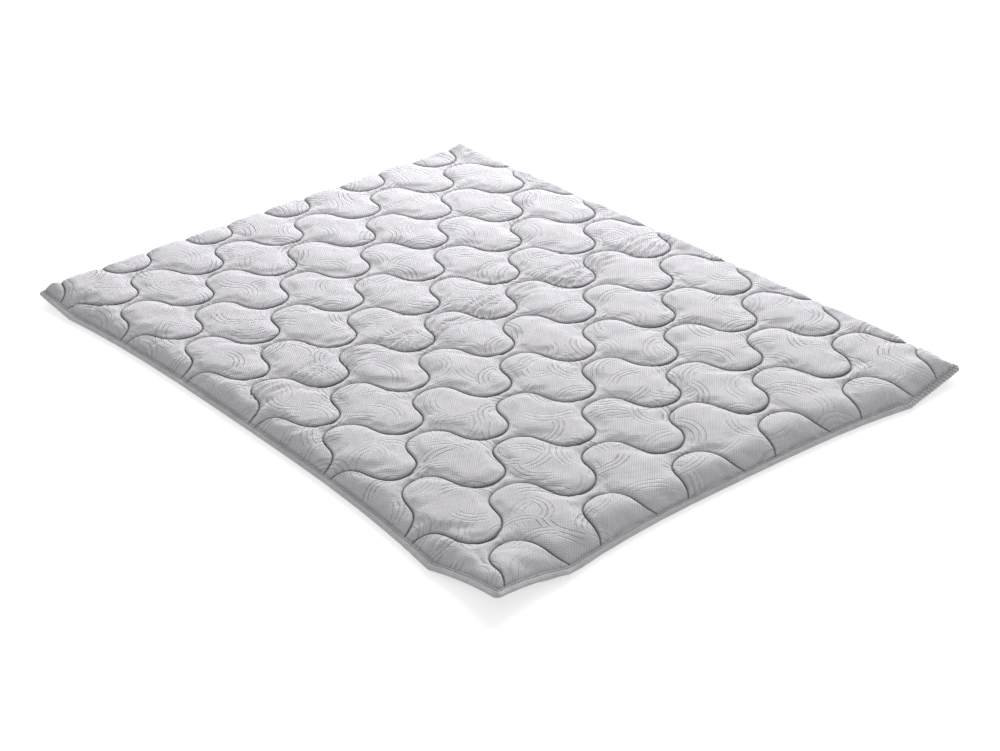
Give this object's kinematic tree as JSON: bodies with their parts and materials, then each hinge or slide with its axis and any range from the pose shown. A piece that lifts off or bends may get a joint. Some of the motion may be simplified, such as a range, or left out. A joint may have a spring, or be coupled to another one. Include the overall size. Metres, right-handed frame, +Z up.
{
  "type": "mattress topper",
  "caption": "Thin quilted memory foam mattress topper with a wavy ogee stitch pattern, a bound edge and an elastic band under each corner.",
  "frame": {"origin": "under the middle of the outline's box, on the surface that the topper lies on", "axes": "+Z up through the thickness, +Y along the length, +X across the width"},
  "size_m": [1.4342, 2.0201, 0.0496],
  "materials": {
    "knit_cover": "pale grey knitted jacquard with fine swirls, matt",
    "wadding": "white polyester fibre wadding",
    "foam": "open-cell viscoelastic foam, matt cream",
    "backing": "plain light grey knitted backing, matt",
    "binding": "woven polyester binding tape, grey, slight sheen",
    "thread": "polyester sewing thread",
    "elastic": "woven elastic webbing, off-white"
  },
  "bodies": {
    "topper": {"band_end_back_left_a": "elastic", "band_end_back_left_b": "elastic", "band_end_back_right_a": "elastic", "band_end_back_right_b": "elastic", "band_end_front_left_a": "elastic", "band_end_front_left_b": "elastic", "band_end_front_right_a": "elastic", "band_end_front_right_b": "elastic", "bar_tack_back_left_a": "thread", "bar_tack_back_left_b": "thread", "bar_tack_back_right_a": "thread", "bar_tack_back_right_b": "thread", "bar_tack_front_left_a": "thread", "bar_tack_front_left_b": "thread", "bar_tack_front_right_a": "thread", "bar_tack_front_right_b": "thread", "binding_stitch_line": "thread", "edge_binding": "binding", "fibre_wadding": "wadding", "knitted_top_cover": "knit_cover", "memory_foam_core": "foam", "quilting_thread_01_part_1": "thread", "quilting_thread_01_part_2": "thread", "quilting_thread_01_part_3": "thread", "quilting_thread_01_part_4": "thread", "quilting_thread_01_part_5": "thread", "quilting_thread_02": "thread", "quilting_thread_03": "thread", "quilting_thread_04": "thread", "quilting_thread_05": "thread", "quilting_thread_06": "thread", "quilting_thread_07": "thread", "quilting_thread_08": "thread", "quilting_thread_09": "thread", "quilting_thread_10": "thread", "quilting_thread_11": "thread", "quilting_thread_12": "thread", "quilting_thread_13_part_1": "thread", "quilting_thread_13_part_2": "thread", "quilting_thread_13_part_3": "thread", "quilting_thread_13_part_4": "thread", "quilting_thread_13_part_5": "thread", "quilting_thread_13_part_6": "thread", "underside_fabric": "backing"},
    "band_front_left": {"corner_band_front_left": "elastic"},
    "band_front_right": {"corner_band_front_right": "elastic"},
    "band_back_left": {"corner_band_back_left": "elastic"},
    "band_back_right": {"corner_band_back_right": "elastic"}
  },
  "joints": [
    {"name": "band_fold_front_left", "type": "hinge", "parent": "topper", "child": "band_front_left", "pos_m": [-0.5937, -0.8822, 0.00155], "axis": [0.7071, -0.7071, 0], "range_deg": [0, 130]},
    {"name": "band_fold_front_right", "type": "hinge", "parent": "topper", "child": "band_front_right", "pos_m": [0.5893, -0.8727, 0.00155], "axis": [0.7071, 0.7071, 0], "range_deg": [0, 130]},
    {"name": "band_fold_back_left", "type": "hinge", "parent": "topper", "child": "band_back_left", "pos_m": [-0.5827, 0.8823, 0.00155], "axis": [-0.7071, -0.7071, 0], "range_deg": [0, 130]},
    {"name": "band_fold_back_right", "type": "hinge", "parent": "topper", "child": "band_back_right", "pos_m": [0.5893, 0.8823, 0.00155], "axis": [-0.7071, 0.7071, 0], "range_deg": [0, 130]}
  ]
}
